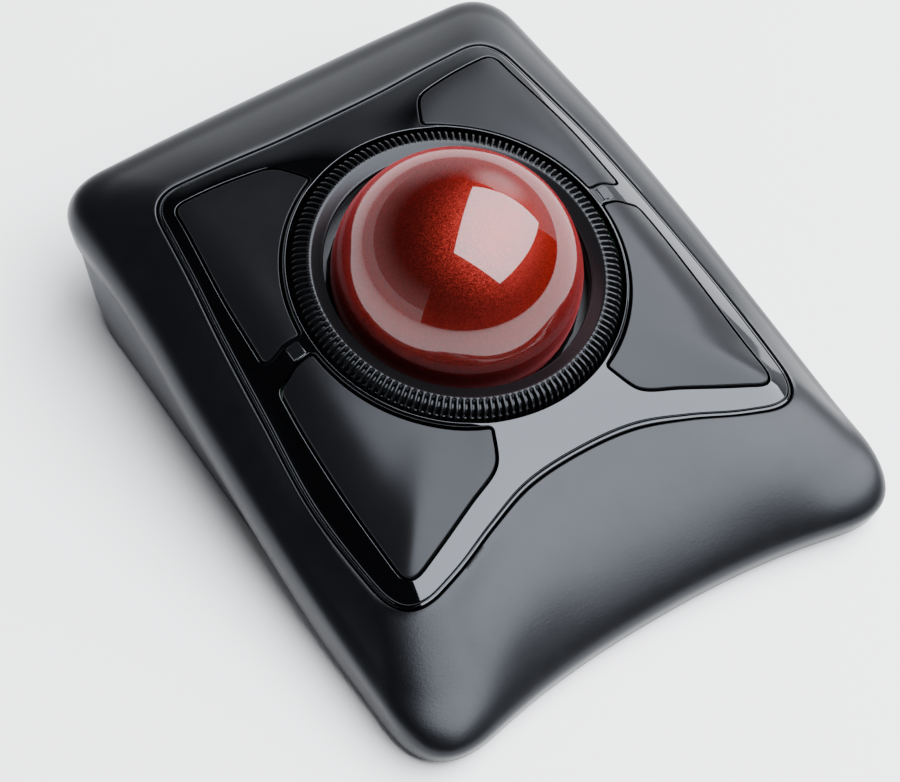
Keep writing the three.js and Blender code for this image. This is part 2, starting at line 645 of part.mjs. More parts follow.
function addRingSensor() {
  const block = solid(box([5.6, 6, 5.6], [0, 0, -10.2]));
  const slot = solid(box([2.0, 8, 4], [0.4, 0, -8.6]));
  const radius = (SKIRT_INNER + SKIRT_OUTER) / 2 - 0.4;
  const place = (shape) => shape.translate(radius, 0, 0).rotateZ(-Math.PI / 2);
  const sensor = place(fromSolid(block.subtract(slot)));
  add('ring_sensor', sensor, darkPlastic, ringFrame);
  add('ring_sensor_board', place(box([8, 14, 1.2], [0, 0, -14.0])), boardGreen, ringFrame);
}
addRingSensor();

function addSwitches() {
  const side = { left: -1, right: 1 };
  for (const hand of ['left', 'right']) {
    const frame = new THREE.Group();
    frame.position.set(side[hand] * BOARD_X, BOARD_Y, BOARD_Z);
    frame.rotation.x = THREE.MathUtils.degToRad(RING_TILT);
    group.add(frame);
    add(`switch_board_${hand}`, new THREE.BoxGeometry(...BOARD_SIZE), boardGreen, frame);
    for (const place of ['front', 'back']) {
      const y = (SWITCH_Y[place] - BOARD_Y) / Math.cos(THREE.MathUtils.degToRad(RING_TILT));
      const bottom = BOARD_SIZE[2] / 2 + 0.3;
      const top = bottom + SWITCH_SIZE[2];
      const pocket = solid(box([PLUNGER_SIZE[0] + 0.6, PLUNGER_SIZE[1] + 0.6, 3.4], [0, y, top]));
      const housing = solid(box(SWITCH_SIZE, [0, y, (bottom + top) / 2])).subtract(pocket);
      add(`micro_switch_${place}_${hand}`, housing, darkPlastic, frame);
      const plunger = box(PLUNGER_SIZE, [0, y, top + PLUNGER_PROUD - 0.3 - PLUNGER_SIZE[2] / 2]);
      add(`switch_plunger_${place}_${hand}`, plunger, whitePlastic, frame);
    }
  }
}
addSwitches();

add('main_board', box([64, 24, 1.6], [0, -43, 6.4]), boardGreen);
add('power_switch', box([4.6, 3.8, 3], [POWER_SWITCH_X, SWITCHES_Y, 3.0]), darkPlastic);
add('connect_button', post(CONNECT_X, SWITCHES_Y, 1.5, 4.6, CONNECT_RADIUS), darkPlastic);

// ---- battery bay ----
function addBatteries() {
  const half = BATTERY_LENGTH / 2;
  const section = [[0, -half], [BATTERY_RADIUS - 0.4, -half], [BATTERY_RADIUS, -half + 0.6],
    [BATTERY_RADIUS, half - 1.8], [BATTERY_RADIUS - 0.6, half - 1.2],
    [2.7, half - 1.2], [2.7, half], [0, half]];
  ['front', 'back'].forEach((place, i) => {
    const turn = i ? -1 : 1;
    const y = BATTERY_Y[i];
    const cell = revolve(section, 18).rotateY(turn * Math.PI / 2).translate(0, y, BATTERY_Z);
    add(`battery_${place}`, cell, batterySleeve);
    add(`contact_plate_${place}`, box([0.5, 9, 9], [turn * (half + 1.0), y, BATTERY_Z]), steel);
    const coil = batterySpring(half + 0.5, half + 4.6);
    coil.rotateY(-turn * Math.PI / 2).translate(0, y, BATTERY_Z);
    add(`battery_spring_${place}`, coil, steel);
  });
}

// A conical wire spring along +Z between two distances.
function batterySpring(near, far) {
  const turns = 2.5;
  const wire = 0.45;
  const stations = 24;
  const points = Array.from({ length: stations + 1 }, (_, i) => {
    const t = i / stations;
    const angle = 2 * Math.PI * turns * t;
    const radius = 2.4 + 2.2 * t;
    const along = near + wire + (far - near - 2 * wire) * t;
    return new THREE.Vector3(radius * Math.cos(angle), radius * Math.sin(angle), along);
  });
  const section = new THREE.Shape().absarc(0, 0, wire, 0, 2 * Math.PI);
  const extrudePath = new THREE.CatmullRomCurve3(points);
  const settings = { steps: 32, curveSegments: 3, bevelEnabled: false, extrudePath };
  return new THREE.ExtrudeGeometry(section, settings);
}
addBatteries();

function batteryDoor() {
  const length = DOOR.back - DOOR.front - 2 * GAP;
  const width = 2 * (DOOR.halfWidth - GAP);
  const height = DOOR.top - FLOOR_BOTTOM;
  const middle = [0, DOOR.front + GAP + length / 2, FLOOR_BOTTOM + height / 2];
  let body = solid(box([width, length, height], middle));
  for (const fromBack of [3.2, 5.6, 8]) {
    body = body.subtract(solid(box([16, 1, 1], [0, DOOR.back - fromBack, FLOOR_BOTTOM])));
  }
  return body;
}
add('battery_door', batteryDoor(), darkPlastic);

// ---- stored radio receiver, beside the batteries ----
add('receiver_plug', box([4.5, 12, 12], [38, 35, 10.2]), steel);
add('receiver_cap', box([6, 6.5, 14], [38, 44.6, 10.2]), darkPlastic);

export default group;
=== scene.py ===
import json
import math

import bmesh
import bpy
import numpy as np
from mathutils import Matrix, Vector
from mathutils.geometry import delaunay_2d_cdt


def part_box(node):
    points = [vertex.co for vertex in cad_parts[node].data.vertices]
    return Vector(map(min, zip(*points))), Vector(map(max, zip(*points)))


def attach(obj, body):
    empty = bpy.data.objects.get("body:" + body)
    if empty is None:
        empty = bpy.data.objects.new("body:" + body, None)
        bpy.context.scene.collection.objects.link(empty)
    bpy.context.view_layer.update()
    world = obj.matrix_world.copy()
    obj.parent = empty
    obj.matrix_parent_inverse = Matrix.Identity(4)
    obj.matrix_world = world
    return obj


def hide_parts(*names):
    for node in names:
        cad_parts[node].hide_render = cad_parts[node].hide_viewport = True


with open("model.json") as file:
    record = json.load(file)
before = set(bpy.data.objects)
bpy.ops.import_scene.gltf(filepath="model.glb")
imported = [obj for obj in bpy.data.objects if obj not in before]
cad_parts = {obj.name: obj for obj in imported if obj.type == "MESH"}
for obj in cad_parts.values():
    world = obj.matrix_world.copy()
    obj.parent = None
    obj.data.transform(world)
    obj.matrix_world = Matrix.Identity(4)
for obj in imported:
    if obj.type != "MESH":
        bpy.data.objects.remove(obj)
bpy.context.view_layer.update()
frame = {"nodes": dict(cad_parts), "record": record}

# Sizes are in millimetres here, and become metres when a mesh is made.
MM = 0.001

# ---- driving dimensions, shared with the CAD model ----
BALL_LOW, BALL_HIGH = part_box("trackball")
BALL_RADIUS = (BALL_HIGH.z - BALL_LOW.z) / 2 / MM
BALL_CENTRE = (BALL_LOW + BALL_HIGH) / 2 / MM
RING_TILT = math.radians(8)
RIM_RADIUS = 37.4                 # round opening of the bezel
RIM_HEIGHT = 0.88                 # of the bezel at that opening, above the middle of the ring
BUTTON_ARC_RADIUS = 38.46         # ring-side edge of the buttons
GAP = 0.35                        # between the shell, the bezel and the base
BUTTON_GAP = 0.6                  # between a button and the bezel
WALL = 2.2
DECK_THICKNESS = 2.5
CAP_THICKNESS = 2.0
CAP_FILLET = 0.25
HOLE_FILLET = 0.2
SKIN = 0.5                        # thickness of the smooth skin over the base's wall
SKIN_SETBACK = 0.8                # from the lip's lower edge in to the top of that skin
FINGER_RADIUS = 1.8
BOSS_RADIUS = 3.2
SHELL_BOSSES = [(54, -62, 6.25, 14.8), (51.5, 53, 20.35, 31)]   # x, y, bottom, top

# Outline loops of the right half: front centre, front corner, side, back corner, back centre.
BEZEL_EDGE = dict(
    front=[(0, -40.2, 26.4), (14, -41.3, 26.1), (26, -45.2, 25.4), (37, -49.3, 23.6), (53.6, -53.6, 20.2)],
    side=[(53.6, -53.6, 20.2), (55.0, -37, 21.3), (55.3, -19, 23.2), (53.4, 2.4, 28.1), (51.3, 22.3, 32.3),
          (49.0, 37.7, 34.9), (45.9, 60.2, 37.2)],
    back=[(45.9, 60.2, 37.2), (26, 58.1, 39.5), (14, 57.0, 40.2), (0, 56.7, 40.5)],
    radii=(11, 8),
)
BUTTON_EDGE = dict(
    front=[(0, -34.5, 30.4), (18.5, -35, 30.9), (27.5, -39, 28.7), (39, -43.5, 26), (49, -47.4, 24.6)],
    side=[(49, -47.4, 24.6), (49.1, -36.6, 25), (49.2, -22, 27.5), (47.9, 2.4, 32.7), (46.3, 28, 36.5),
          (43.0, 54, 39.2)],
    back=[(43.0, 54, 39.2), (33, 53.1, 40.4), (20, 49.9, 41.9), (0, 49.5, 42.2)],
    radii=(2.5, 2.5),
)
CREST = dict(
    front=[(0, -70.6, 9.8), (30, -72.4, 9.8), (64.5, -78.4, 9.9)],
    side=[(64.5, -78.4, 9.9), (64.2, -57, 11.0), (63.9, -33.7, 14.6), (63.3, -17, 18), (62.5, 0, 21.7),
          (61.6, 17, 24.8), (60.2, 33, 27.8), (59.2, 50, 29.1), (58.2, 76.7, 30.3)],
    back=[(58.2, 76.7, 30.3), (30, 76.7, 31.4), (0, 76.7, 31.6)],
    radii=(18, 11),
)
LIP = dict(
    front=[(0, -72.4, 7.0), (30, -74.2, 7.0), (64.9, -81.1, 7.0)],
    side=[(64.9, -81.1, 7.0), (64.6, -57, 8.0), (64.8, -38, 10.4), (64.6, -17, 14.7), (64.0, 0, 18.2),
          (63.1, 17, 21.3), (61.9, 33, 24.2), (60.9, 50, 25.7), (60.0, 78, 26.8)],
    back=[(60.0, 78, 26.8), (30, 78, 27.8), (0, 78, 28)],
    radii=(18, 12),
)
LIP_BOTTOM = dict(
    front=[(0, -72.1, 3.2), (30, -73.8, 3.2), (64.4, -80.5, 3.2)],
    side=[(64.4, -80.5, 3.2), (64.2, -57, 3.6), (64.4, -38, 5.7), (64.1, -17, 10.2), (63.4, 0, 13.6),
          (62.5, 17, 16.6), (61.3, 33, 19.6), (60.3, 50, 21.2), (59.4, 77.2, 22.2)],
    back=[(59.4, 77.2, 22.2), (30, 77.2, 23), (0, 77.2, 23.2)],
    radii=(18, 12),
)
BASE_WAIST = dict(
    front=[(0, -70.0, 2), (30, -71.3, 2), (61.5, -76.4, 2)],
    side=[(61.5, -76.4, 2), (61.5, -38, 3.0), (60.6, 0, 5.6), (59.6, 33, 8.0), (58.6, 67.5, 8.6)],
    back=[(58.6, 67.5, 8.6), (30, 67.5, 8.8), (0, 67.5, 8.8)],
    radii=(14, 9),
)
COARSE = dict(front=48, corner=16, side=84, back=40)
MEDIUM = dict(front=80, corner=16, side=130, back=70)
FINE = dict(front=300, corner=80, side=500, back=240)


# ---- curves and loops ----
def smooth_curve(points, samples=40):
    """A centripetal Catmull-Rom curve through the points, as a dense polyline."""
    p = np.array(points, float)
    p = np.vstack([2 * p[0] - p[1], p, 2 * p[-1] - p[-2]])
    rows = []
    for a, b, c, d in zip(p, p[1:], p[2:], p[3:]):
        ta = 0.0
        tb = ta + np.linalg.norm(b - a) ** 0.5
        tc = tb + np.linalg.norm(c - b) ** 0.5
        td = tc + np.linalg.norm(d - c) ** 0.5
        t = np.linspace(tb, tc, samples, endpoint=False)[:, None]
        ab = a * (tb - t) / (tb - ta) + b * (t - ta) / (tb - ta)
        bc = b * (tc - t) / (tc - tb) + c * (t - tb) / (tc - tb)
        cd = c * (td - t) / (td - tc) + d * (t - tc) / (td - tc)
        abc = ab * (tc - t) / (tc - ta) + bc * (t - ta) / (tc - ta)
        bcd = bc * (td - t) / (td - tb) + cd * (t - tb) / (td - tb)
        rows.append(abc * (tc - t) / (tc - tb) + bcd * (t - tb) / (tc - tb))
    return np.vstack(rows + [p[-2:-1]])


def arc_lengths(line):
    """Distance along a polyline at each of its points."""
    return np.r_[0, np.cumsum(np.linalg.norm(np.diff(line, axis=0), axis=1))]


def resample(line, start, end, steps):
    """Points evenly spaced along a polyline between two distances from its start."""
    s = arc_lengths(line)
    wanted = np.linspace(start, end, steps + 1)
    return np.stack([np.interp(wanted, s, line[:, k]) for k in range(line.shape[1])], axis=1)


def mirrored(points):
    """The whole front or back line, from the half that starts or ends on the middle plane."""
    other = [(-x, y, z) for x, y, z in points if x > 0][::-1]
    return other + list(points) if points[0][0] == 0 else list(points) + other


def bezier(a, corner, b, steps):
    """A rounded corner from a to b, drawn towards the sharp corner between them."""
    t = np.linspace(0, 1, steps + 1)[:, None]
    return (1 - t) ** 2 * a + 2 * t * (1 - t) * np.array(corner, float) + t ** 2 * b


def loop(shape, counts):
    """A closed outline, counter-clockwise from the front centre line, with rounded corners."""
    front = smooth_curve(mirrored(shape["front"]))
    side = smooth_curve(shape["side"])
    back = smooth_curve(mirrored(shape["back"]))
    front_round, back_round = shape["radii"]
    front_length, side_length, back_length = (arc_lengths(line)[-1] for line in (front, side, back))
    front = resample(front, front_length / 2, front_length - front_round, counts["front"])
    side = resample(side, front_round, side_length - back_round, counts["side"])
    back = resample(back, back_round, back_length / 2, counts["back"])
    turn_front = bezier(front[-1], shape["side"][0], side[0], counts["corner"])[1:-1]
    turn_back = bezier(side[-1], shape["back"][0], back[0], counts["corner"])[1:-1]
    right = np.vstack([front, turn_front, side, turn_back, back])
    left = right[-2:0:-1] * (-1, 1, 1)
    return np.vstack([right, left])


def inward(points):
    """Unit vectors in plan that point into a counter-clockwise loop."""
    along = np.roll(points, -1, axis=0)[:, :2] - np.roll(points, 1, axis=0)[:, :2]
    along /= np.linalg.norm(along, axis=1)[:, None]
    return np.stack([-along[:, 1], along[:, 0]], axis=1)


def inset(points, distance, rise=0.0):
    """A loop moved inwards in plan, and up by the rise where it has heights."""
    moved = points.copy()
    moved[:, :2] += inward(points) * distance
    if moved.shape[1] > 2:
        moved[:, 2] += rise
    return moved


def ring_point(radius, angle, height):
    """A point given in the ring's tilted frame, in the main frame."""
    x = radius * np.cos(angle)
    y = radius * np.sin(angle)
    return np.stack([
        x + 0 * height,
        BALL_CENTRE.y + y * math.cos(RING_TILT) - height * math.sin(RING_TILT),
        BALL_CENTRE.z + y * math.sin(RING_TILT) + height * math.cos(RING_TILT),
    ], axis=-1)


def smoothstep(low, high, value):
    t = np.clip((value - low) / (high - low), 0, 1)
    return t * t * (3 - 2 * t)


# ---- the deck's surface: height over any plan point between the rim and the bezel's edge ----
def polar(points):
    """Plan radius and height of a loop as functions of the direction from the ring's centre."""
    angle = np.arctan2(points[:, 1] - BALL_CENTRE.y, points[:, 0])
    order = np.argsort(angle)
    radius = np.hypot(points[:, 0], points[:, 1] - BALL_CENTRE.y)[order]
    height = points[order, 2]
    angle = angle[order]

    def look_up(at):
        return (np.interp(at, angle, radius, period=2 * math.pi),
                np.interp(at, angle, height, period=2 * math.pi))

    return look_up


def off_side(angle):
    """Angle between a direction and the nearer side, in radians: 0 at 3 and 9 o'clock."""
    return np.arctan2(np.sin(angle), np.abs(np.cos(angle)))


LAND_HALF_ANGLE = math.radians(66)      # beyond this the deck is bare bezel, in front and behind
SIDE_RIM_HEIGHT = 0.25                  # where the buttons' own surface would meet the rim
CREASE_RISE = 1.5                       # the soft ridge that runs along each pair of buttons
CREASE_X = 41.5
RIDGE_SHARPNESS = 9.0
RIDGE_FADE_BEHIND = (math.radians(22), math.radians(52))     # directions off the side between which it fades
RIDGE_FADE_IN_FRONT = (math.radians(46), math.radians(62))


def rim_height(angle):
    """Height of the deck's surface at the bezel's opening, above the middle of the ring."""
    share = smoothstep(LAND_HALF_ANGLE - 0.14, LAND_HALF_ANGLE + 0.05, np.abs(off_side(angle)))
    return SIDE_RIM_HEIGHT + (RIM_HEIGHT - SIDE_RIM_HEIGHT) * share


dense_angles = np.linspace(-math.pi, math.pi, 3600, endpoint=False)
rim_at = polar(ring_point(RIM_RADIUS, dense_angles, rim_height(dense_angles)))
button_edge_at = polar(loop(BUTTON_EDGE, FINE))
bezel_edge_at = polar(loop(BEZEL_EDGE, FINE))


def crease(angle, share, rim_radius, edge_radius):
    """Height of the ridge at a share of the way from the rim out to the buttons' outer edge."""
    crease_radius = CREASE_X / np.maximum(np.abs(np.cos(angle)), 0.2)
    top = np.clip((crease_radius - rim_radius) / (edge_radius - rim_radius), 0.25, 0.72)
    behind = smoothstep(*RIDGE_FADE_BEHIND, off_side(angle))
    in_front = smoothstep(*RIDGE_FADE_IN_FRONT, -off_side(angle))
    share = np.clip(share, 0, 1)
    up = np.exp(-RIDGE_SHARPNESS * share / top)
    down = np.exp(-RIDGE_SHARPNESS * (1 - share) / (1 - top))
    return -CREASE_RISE * (1 - behind - in_front) * np.log(up + down) / RIDGE_SHARPNESS


def ruled_height(xy):
    """Straight lines from the rim to the buttons' outer edge, with the ridge, and on to the bezel's edge."""
    dy = xy[..., 1] - BALL_CENTRE.y
    angle = np.arctan2(dy, xy[..., 0])
    radius = np.hypot(xy[..., 0], dy)
    rim_radius, rim_z = rim_at(angle)
    edge_radius, edge_z = button_edge_at(angle)
    outer_radius, outer_z = bezel_edge_at(angle)
    share = (radius - rim_radius) / (edge_radius - rim_radius)
    inner = rim_z + (edge_z - rim_z) * share + crease(angle, share, rim_radius, edge_radius)
    outer = edge_z + (outer_z - edge_z) * (radius - edge_radius) / (outer_radius - edge_radius)
    return np.where(share < 1, inner, outer)


CELL = 0.5                              # spacing of the grid that holds the smoothed surface
SOFTNESS = 2.6                          # how far its facets are rounded into one another
GRID_LOW = np.array([-66.0, -66.0])
GRID_CELLS = 276


def blurred(values, reach):
    """A Gaussian blur of a grid, with its edge values carried on outwards."""
    half = math.ceil(3 * reach)
    weights = np.exp(-0.5 * (np.arange(-half, half + 1) / reach) ** 2)
    weights /= weights.sum()
    for _ in range(2):
        padded = np.pad(values, ((half, half), (0, 0)), "edge")
        values = np.apply_along_axis(np.convolve, 0, padded, weights, "valid").T
    return values


grid_x, grid_y = np.meshgrid(*[low + CELL * np.arange(GRID_CELLS) for low in GRID_LOW], indexing="ij")
smooth_grid = blurred(ruled_height(np.stack([grid_x, grid_y], axis=-1)), SOFTNESS / CELL)


def deck_height(xy):
    """Height of the smoothed deck, read from the grid."""
    place = (xy - GRID_LOW) / CELL
    cell = np.clip(np.floor(place).astype(int), 0, GRID_CELLS - 2)
    i, j = cell[..., 0], cell[..., 1]
    s, t = (place - cell)[..., 0], (place - cell)[..., 1]
    near = smooth_grid[i, j] * (1 - s) + smooth_grid[i + 1, j] * s
    far = smooth_grid[i, j + 1] * (1 - s) + smooth_grid[i + 1, j + 1] * s
    return near * (1 - t) + far * t


def bezel_height(xy):
    """The deck's surface with the raised rim that runs round the ring beside the buttons."""
    dy = (xy[..., 1] - BALL_CENTRE.y) / math.cos(RING_TILT)
    radius = np.hypot(xy[..., 0], dy)
    angle = np.arctan2(dy, xy[..., 0])
    rim = (RIM_HEIGHT - rim_height(angle)) * (1 - smoothstep(RIM_RADIUS + 0.1, BUTTON_ARC_RADIUS, radius))
    return deck_height(xy) + rim


def surface_normals(height, xy):
    dx = (height(xy + (CELL, 0)) - height(xy - (CELL, 0))) / (2 * CELL)
    dy = (height(xy + (0, CELL)) - height(xy - (0, CELL))) / (2 * CELL)
    n = np.stack([-dx, -dy, np.ones_like(dx)], axis=-1)
    return n / np.linalg.norm(n, axis=-1, keepdims=True)


# ---- mesh tools ----
def new_piece(name, points, faces, material, body, slot, replaced=(), normals=None):
    """A visible piece that rides on a body, from points in millimetres."""
    mesh = bpy.data.meshes.new(name)
    mesh.from_pydata((np.asarray(points, float) * MM).tolist(), [], faces)
    mesh.validate()
    mesh.polygons.foreach_set("use_smooth", [True] * len(mesh.polygons))
    if normals is not None:
        mesh.normals_split_custom_set(np.asarray(normals, float).tolist())
    mesh.materials.append(material)
    piece = bpy.data.objects.new(name, mesh)
    bpy.context.scene.collection.objects.link(piece)
    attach(piece, body)
    if replaced:
        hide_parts(*replaced)
    return piece


def inside(points, polygon):
    """Which points lie inside a closed polygon, by counting crossings."""
    x, y = points[:, 0][:, None], points[:, 1][:, None]
    ax, ay = polygon[:, 0][None], polygon[:, 1][None]
    bx, by = np.roll(polygon[:, 0], -1)[None], np.roll(polygon[:, 1], -1)[None]
    spans = (ay > y) != (by > y)
    with np.errstate(divide="ignore", invalid="ignore"):
        crossing = x < (bx - ax) * (y - ay) / (by - ay) + ax
    return (np.count_nonzero(spans & crossing, axis=1) % 2) == 1


def in_plate(points, outer, holes):
    """Which points lie within the outer loop and outside every hole."""
    keep = inside(points, outer)
    for hole in holes:
        keep &= ~inside(points, hole)
    return keep


ROW_SPACING = 0.866                     # between the rows of a triangular grid of points 1 apart


def triangular_grid(outer, holes, spacing):
    """Rows of points that fill a plate and stay clear of its loops."""
    low, high = outer.min(0), outer.max(0)
    rows = np.arange(low[1], high[1], spacing * ROW_SPACING)
    columns = np.arange(low[0], high[0], spacing)
    grid = np.array([(c + (k % 2) * spacing / 2, r) for k, r in enumerate(rows) for c in columns])
    grid = grid[in_plate(grid, outer, holes)]
    borders = np.vstack([outer] + holes)
    clear = [np.min(np.hypot(*(borders - point).T)) > 0.6 * spacing for point in grid]
    return grid[np.array(clear)]


def triangulate(outer, holes, extra=()):
    """Triangles between plan loops, through the extra points too: all the points, and the triangles."""
    loops = [outer] + holes
    points = np.vstack(loops + [extra] if len(extra) else loops)
    edges = []
    start = 0
    for ring in loops:
        edges += [(start + i, start + (i + 1) % len(ring)) for i in range(len(ring))]
        start += len(ring)
    found = delaunay_2d_cdt([Vector(p) for p in points], edges, [], 0, 1e-6, True)
    original, faces = found[3], found[2]
    triangles = np.array([[original[v][0] for v in face] for face in faces])
    triangles = triangles[in_plate(points[triangles].mean(axis=1), outer, holes)]
    a, b, c = (points[triangles[:, k]] for k in range(3))
    area = (b[:, 0] - a[:, 0]) * (c[:, 1] - a[:, 1]) - (b[:, 1] - a[:, 1]) * (c[:, 0] - a[:, 0])
    triangles[area < 0] = triangles[area < 0][:, ::-1]
    return points, triangles


def band(low, high, count, sign=1):
    """Quads between two closed rows of points, given by the index at which each row starts."""
    quads = []
    for i in range(count):
        j = (i + 1) % count
        quads.append((low + i, low + j, high + j, high + i)[::sign])
    return quads


def fillet(radius, steps=3):
    """Rows of a rounded edge: distance in from the outline, drop below the surface, lean of the normal."""
    lean = np.linspace(math.pi / 2, 0, steps + 1)
    return [(radius * (1 - math.sin(a)), radius * (1 - math.cos(a)), a) for a in lean]


# The bezel's outer edge: a narrow strip, a fine groove, then the rounded border of the gloss surface.
# Each row is the distance in from the wall, the drop below the surface and the lean of the normal.
STRIP_EDGE = [(d, drop, math.radians(lean)) for d, drop, lean in [
    (0.0, 0.35, 90), (0.06, 0.14, 45), (0.16, 0.08, 0), (0.40, 0.08, 0), (0.48, 0.14, -45), (0.50, 0.55, -90),
    (0.52, 0.6, 0), (0.74, 0.6, 0), (0.76, 0.55, 90), (0.80, 0.2, 70), (0.88, 0.06, 40), (1.05, 0.0, 0)]]


PLATE_SPACING = 1.6


def edge_rows(rings):
    """The rounded edges' points, row by row, each with its drop, its normal's lean and the way out."""
    points, drops, leans, outwards = [], [], [], []
    for ring, profile, sign in rings:
        into = inward(ring) * sign
        for distance, drop, lean in profile:
            points.append(ring + into * distance)
            drops.append(np.full(len(ring), drop))
            leans.append(np.full(len(ring), lean))
            outwards.append(np.column_stack([-into, np.zeros(len(ring))]))
    return np.vstack(points), np.concatenate(drops), np.concatenate(leans)[:, None], np.vstack(outwards)


def plate(name, outer, holes, height, thickness, edge, hole_edge=None, **look):
    """A cover cut from a height surface: rounded edges, straight walls, the same shape underneath."""
    rings = [(outer, edge, 1)] + [(hole, hole_edge, -1) for hole in holes]
    edge_xy, drop, lean, out = edge_rows(rings)
    tops = [ring + inward(ring) * sign * profile[-1][0] for ring, profile, sign in rings]
    grid = triangular_grid(tops[0], tops[1:], PLATE_SPACING)
    top_triangles = triangulate(tops[0], tops[1:], grid)[1]
    base_xy, base_triangles = triangulate(outer, holes)
    xy = np.vstack([edge_xy, grid, base_xy])
    edge_end, base_start = len(edge_xy), len(edge_xy) + len(grid)
    z = height(xy)
    z[:edge_end] -= drop
    z[base_start:] -= thickness
    normals = surface_normals(height, xy)
    normals[:edge_end] = normals[:edge_end] * np.cos(lean) + out * np.sin(lean)
    wall_normals = np.zeros_like(normals)
    under_normals = np.tile([0.0, 0.0, -1.0], (len(xy), 1))

    rounded, walls, top_index = [], [], []
    start, base = 0, base_start
    for ring, profile, sign in rings:
        count, last = len(ring), start + (len(profile) - 1) * len(ring)
        for row in range(start, last, count):
            rounded += band(row, row + count, count, sign)
        walls += band(base, start, count, sign)
        wall_normals[start:start + count] = wall_normals[base:base + count] = out[start:start + count]
        top_index += range(last, last + count)
        start, base = last + count, base + count
    top = np.array(top_index + list(range(edge_end, base_start)))[top_triangles].tolist()
    under = (base_start + base_triangles[:, ::-1]).tolist()
    faces, corner_normals = [], []
    for group, table in ((top + rounded, normals), (walls, wall_normals), (under, under_normals)):
        faces += group
        corner_normals += [table[i] for face in group for i in face]
    return new_piece(name, np.column_stack([xy, z]), faces, normals=corner_normals, **look)


def lofted(name, rows, sharp=math.radians(40), **look):
    """A closed skin of quads between loops of equal length, given in order round its section."""
    count = len(rows[0])
    faces = []
    for k in range(len(rows)):
        faces += band(k * count, (k + 1) % len(rows) * count, count)
    piece = new_piece(name, np.vstack(rows), faces, **look)
    fix_normals(piece, sharp)
    return piece


def fix_normals(piece, sharp=math.radians(40)):
    """Turns every face outwards and keeps edges steeper than the angle sharp."""
    mesh = bmesh.new()
    mesh.from_mesh(piece.data)
    bmesh.ops.recalc_face_normals(mesh, faces=mesh.faces)
    for edge in mesh.edges:
        edge.smooth = edge.calc_face_angle(0) < sharp
    mesh.to_mesh(piece.data)
    mesh.free()


def block_piece(name, block, **look):
    """A piece from a bmesh in millimetres, which is freed."""
    points = [tuple(v.co) for v in block.verts]
    faces = [[v.index for v in f.verts] for f in block.faces]
    block.free()
    return new_piece(name, points, faces, **look)


# ---- materials ----
def blank_look(name):
    """A new node material: the material, its node tree and its shader."""
    look = bpy.data.materials.new(name)
    look.use_nodes = True
    return look, look.node_tree, look.node_tree.nodes["Principled BSDF"]


def add_node(tree, kind, inputs, **settings):
    """A shader node with its settings made, and its inputs either set or linked."""
    made = tree.nodes.new(kind)
    for key, value in settings.items():
        setattr(made, key, value)
    for key, value in inputs.items():
        if isinstance(value, bpy.types.NodeSocket):
            tree.links.new(value, made.inputs[key])
        else:
            made.inputs[key].default_value = value
    return made


def noise(tree, where, per_metre, detail=3.0):
    made = add_node(tree, "ShaderNodeTexNoise", {"Vector": where, "Scale": per_metre, "Detail": detail})
    return made.outputs["Fac"]


def spread(tree, value, low, high):
    """A texture value from 0 to 1, spread over a range."""
    made = add_node(tree, "ShaderNodeMapRange", {"Value": value, "To Min": low, "To Max": high})
    return made.outputs["Result"]


def mix_colours(tree, share, first, second):
    made = add_node(tree, "ShaderNodeMix", {"Factor": share, 6: first, 7: second}, data_type="RGBA")
    return made.outputs[2]


COOL_TINT = (0.87, 0.92, 1.0, 1)        # dark plastics reflect the light a little bluer


def moulded(name, colour, roughness, shine=0.5, grain=1800, depth=0.00002, metallic=0.0):
    """Moulded plastic or plain metal: a faint cloud in its colour, uneven gloss and a fine grain."""
    look, tree, shader = blank_look(name)
    where = tree.nodes.new("ShaderNodeTexCoord").outputs["Object"]
    cloud = noise(tree, where, 60)
    darker = tuple(0.85 * c for c in colour) + (1,)
    lighter = tuple(1.15 * c for c in colour) + (1,)
    tree.links.new(mix_colours(tree, cloud, darker, lighter), shader.inputs["Base Color"])
    tree.links.new(spread(tree, noise(tree, where, 220), 0.9 * roughness, 1.1 * roughness),
                   shader.inputs["Roughness"])
    fine = noise(tree, where, grain, 2.0)
    bump = add_node(tree, "ShaderNodeBump", {"Height": fine, "Distance": depth, "Strength": 1.0})
    tree.links.new(bump.outputs["Normal"], shader.inputs["Normal"])
    shader.inputs["Metallic"].default_value = metallic
    shader.inputs["Specular IOR Level"].default_value = shine
    shader.inputs["Specular Tint"].default_value = COOL_TINT
    return look


